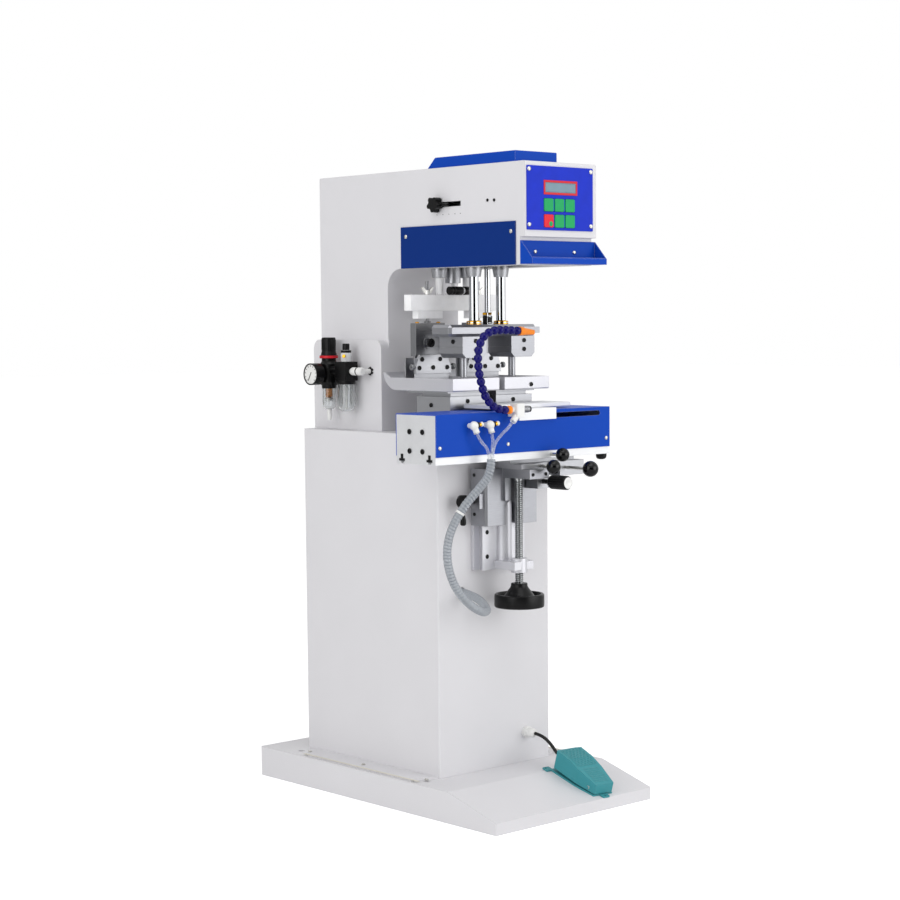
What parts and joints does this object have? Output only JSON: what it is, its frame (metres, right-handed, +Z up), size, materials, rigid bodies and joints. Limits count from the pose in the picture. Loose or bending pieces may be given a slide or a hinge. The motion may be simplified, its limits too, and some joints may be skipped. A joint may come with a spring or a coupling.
{
  "type": "pad printing machine",
  "caption": "Floor-standing pneumatic pad printer: steel pedestal and C-shaped head, sliding pad and blade carriage, open ink trays, shuttle table on a screw-lifted knee, foot pedal.",
  "frame": {"origin": "middle of the base's rectangle, on the floor", "axes": "+X to the machine's right as the operator sees it, -Y towards the operator, +Z up"},
  "size_m": [0.4895, 0.753, 1.326],
  "materials": {
    "white_paint": "satin powder coat",
    "blue_paint": "gloss powder coat",
    "panel_blue": "printed satin film on sheet",
    "display_black": "gloss bezel and window",
    "key_red": "satin film key",
    "key_green": "satin film key",
    "ground_steel": "hard-chromed and ground",
    "machined_aluminium": "machined, fine cutter marks",
    "plated_steel": "zinc plated",
    "steel": "ground",
    "black_plastic": "moulded, satin",
    "clear_plastic": "clear polycarbonate",
    "dial_white": "black case, white dial behind a window",
    "white_plastic": "moulded",
    "hose_blue": "moulded segments",
    "teal_paint": "hammer-free enamel on die casting",
    "cable_black": "matt PVC",
    "bundle_clear": "clear spiral wrap over tubes",
    "tube_clear": "clear polyurethane tube"
  },
  "bodies": {
    "machine": {"base_plinth": "white_paint", "pillar_cabinet": "white_paint", "pillar_rear_cover": "white_paint", "lower_housing": "white_paint", "head_frame": "white_paint", "side_covers": "blue_paint", "top_cover": "blue_paint", "control_panel": "panel_blue", "display": "display_black", "tool_tray": "blue_paint", "head_slide": "ground_steel", "ink_trays": "machined_aluminium", "tray_support": "machined_aluminium", "knee_rail": "machined_aluminium", "air_regulator": "black_plastic", "service_bowls": "clear_plastic", "pressure_gauge": "dial_white", "shutoff_valve": "white_plastic", "pedal_base": "teal_paint", "cable_gland": "white_plastic", "pedal_cable": "cable_black", "hose_bundle": "bundle_clear"},
    "key_1": {"panel_key_1": "key_green"},
    "key_2": {"panel_key_2": "key_green"},
    "key_3": {"panel_key_3": "key_green"},
    "key_4": {"panel_key_4": "key_red"},
    "key_5": {"panel_key_5": "key_green"},
    "key_6": {"panel_key_6": "key_green"},
    "carriage": {"carriage_block": "machined_aluminium", "pad_cylinder": "machined_aluminium"},
    "pad_unit": {"pad_shafts": "ground_steel", "pad_beam": "machined_aluminium", "pad_holders": "machined_aluminium"},
    "blade_lifter": {"crossbar": "machined_aluminium"},
    "blade_unit_left": {"blade_bracket_left": "plated_steel"},
    "blade_unit_right": {"blade_bracket_right": "plated_steel"},
    "blade_left": {"blade_holder_left": "machined_aluminium"},
    "blade_right": {"blade_holder_right": "machined_aluminium"},
    "nut_left": {"wing_nut_left": "plated_steel"},
    "nut_right": {"wing_nut_right": "plated_steel"},
    "head_stop": {"stop_knob": "black_plastic"},
    "knee": {"knee_carriage": "machined_aluminium"},
    "lift_spindle": {"handwheel": "black_plastic", "lead_screw": "steel"},
    "knee_clamp": {"clamp_lever": "black_plastic"},
    "stage": {"cross_slide": "machined_aluminium"},
    "stage_screw": {"adjust_knob": "black_plastic"},
    "stage_lock": {"ball_knob_stage": "black_plastic"},
    "side_lock": {"ball_knob_side": "black_plastic"},
    "bed": {"shuttle_bed": "machined_aluminium", "shuttle_frame": "machined_aluminium", "shuttle_cover": "blue_paint", "bed_fittings": "white_plastic", "air_tubes": "tube_clear"},
    "bed_lock": {"ball_knob_bed": "black_plastic"},
    "table": {"table_carrier": "machined_aluminium", "work_table": "machined_aluminium"},
    "blow_off": {"blow_hose": "hose_blue"},
    "regulator_cap": {"regulator_knob": "black_plastic"},
    "treadle": {"pedal_treadle": "teal_paint"}
  },
  "joints": [
    {"name": "key_1_press", "type": "slide", "parent": "machine", "child": "key_1", "axis": [0, 1, 0], "range_m": [0, 0.0008], "stiffness_N_per_m": 1500, "springref_m": -0.0004},
    {"name": "key_2_press", "type": "slide", "parent": "machine", "child": "key_2", "axis": [0, 1, 0], "range_m": [0, 0.0008], "stiffness_N_per_m": 1500, "springref_m": -0.0004},
    {"name": "key_3_press", "type": "slide", "parent": "machine", "child": "key_3", "axis": [0, 1, 0], "range_m": [0, 0.0008], "stiffness_N_per_m": 1500, "springref_m": -0.0004},
    {"name": "key_4_press", "type": "slide", "parent": "machine", "child": "key_4", "axis": [0, 1, 0], "range_m": [0, 0.0008], "stiffness_N_per_m": 1500, "springref_m": -0.0004},
    {"name": "key_5_press", "type": "slide", "parent": "machine", "child": "key_5", "axis": [0, 1, 0], "range_m": [0, 0.0008], "stiffness_N_per_m": 1500, "springref_m": -0.0004},
    {"name": "key_6_press", "type": "slide", "parent": "machine", "child": "key_6", "axis": [0, 1, 0], "range_m": [0, 0.0008], "stiffness_N_per_m": 1500, "springref_m": -0.0004},
    {"name": "head_travel", "type": "slide", "parent": "machine", "child": "carriage", "axis": [0, -1, 0], "range_m": [0, 0.1]},
    {"name": "pad_stroke", "type": "slide", "parent": "carriage", "child": "pad_unit", "axis": [0, 0, 1], "range_m": [0, 0.088]},
    {"name": "blade_lift", "type": "slide", "parent": "carriage", "child": "blade_lifter", "axis": [0, 0, 1], "range_m": [0, 0.01]},
    {"name": "wing_nut_left_turn", "type": "hinge", "parent": "blade_lifter", "child": "nut_left", "pos_m": [-0.0715, -0.0215, 1.05], "axis": [0, 0, 1], "range_deg": [-878.4, 1166.4]},
    {"name": "wing_nut_right_turn", "type": "hinge", "parent": "blade_lifter", "child": "nut_right", "pos_m": [0.0715, -0.0215, 1.05], "axis": [0, 0, 1], "range_deg": [-878.4, 1166.4]},
    {"name": "blade_height_left", "type": "slide", "parent": "blade_lifter", "child": "blade_unit_left", "axis": [0, 0, 1], "range_m": [-0.003, 0.004]},
    {"name": "blade_height_right", "type": "slide", "parent": "blade_lifter", "child": "blade_unit_right", "axis": [0, 0, 1], "range_m": [-0.003, 0.004]},
    {"name": "blade_level_left", "type": "hinge", "parent": "blade_unit_left", "child": "blade_left", "pos_m": [-0.0775, -0.01, 0.947], "axis": [0, 1, 0], "range_deg": [-3, 3]},
    {"name": "blade_level_right", "type": "hinge", "parent": "blade_unit_right", "child": "blade_right", "pos_m": [0.0655, -0.01, 0.947], "axis": [0, 1, 0], "range_deg": [-3, 3]},
    {"name": "head_stop_slide", "type": "slide", "parent": "machine", "child": "head_stop", "axis": [0, -1, 0], "range_m": [0, 0.06]},
    {"name": "handwheel_turn", "type": "hinge", "parent": "knee", "child": "lift_spindle", "pos_m": [0, -0.215, 0.43], "axis": [0, 0, 1], "range_deg": [-3609, 1629]},
    {"name": "knee_lift", "type": "slide", "parent": "machine", "child": "knee", "axis": [0, 0, 1], "range_m": [-0.04, 0.018], "deforming": ["hose_bundle"]},
    {"name": "knee_clamp_turn", "type": "hinge", "parent": "knee", "child": "knee_clamp", "pos_m": [-0.1, -0.168, 0.628], "axis": [1, 0, 0], "range_deg": [-80, 15]},
    {"name": "stage_depth", "type": "slide", "parent": "knee", "child": "stage", "axis": [0, -1, 0], "range_m": [-0.003, 0.012]},
    {"name": "stage_screw_turn", "type": "hinge", "parent": "stage", "child": "stage_screw", "pos_m": [0.046, -0.26, 0.6645], "axis": [0, -1, 0], "range_deg": [-878.4, 3470.4]},
    {"name": "stage_lock_turn", "type": "hinge", "parent": "stage", "child": "stage_lock", "pos_m": [0.016, -0.28, 0.6984], "axis": [0, -1, 0], "range_deg": [-90, 90]},
    {"name": "side_lock_turn", "type": "hinge", "parent": "stage", "child": "side_lock", "pos_m": [0.108, -0.29, 0.6899], "axis": [0, -1, 0], "range_deg": [-90, 90]},
    {"name": "bed_side_shift", "type": "slide", "parent": "stage", "child": "bed", "axis": [1, 0, 0], "range_m": [-0.012, 0.012]},
    {"name": "bed_lock_turn", "type": "hinge", "parent": "bed", "child": "bed_lock", "pos_m": [0.046, -0.28, 0.721], "axis": [0, -1, 0], "range_deg": [-90, 90]},
    {"name": "table_shuttle", "type": "slide", "parent": "bed", "child": "table", "axis": [1, 0, 0], "range_m": [0, 0.125]},
    {"name": "blow_off_swing", "type": "hinge", "parent": "bed", "child": "blow_off", "pos_m": [-0.092, -0.28, 0.816], "axis": [1, 0, 0], "range_deg": [-2, 20]},
    {"name": "regulator_turn", "type": "hinge", "parent": "machine", "child": "regulator_cap", "pos_m": [-0.15, 0.208, 0.94], "axis": [0, 0, 1], "range_deg": [-720, 720]},
    {"name": "treadle_press", "type": "hinge", "parent": "machine", "child": "treadle", "pos_m": [0.08969, -0.34874, 0.045], "axis": [-0.9977, 0.0646, 0.0182], "range_deg": [0, 3], "stiffness_Nm_per_rad": 12, "springref_deg": -1.72}
  ],
  "couplings": [
    {"joint": "wing_nut_left_turn", "follows": "blade_height_left", "rad_per_m": 5026.5},
    {"joint": "wing_nut_right_turn", "follows": "blade_height_right", "rad_per_m": 5026.5},
    {"joint": "handwheel_turn", "follows": "knee_lift", "rad_per_m": 1570.8},
    {"joint": "stage_screw_turn", "follows": "stage_depth", "rad_per_m": 5026.5}
  ]
}
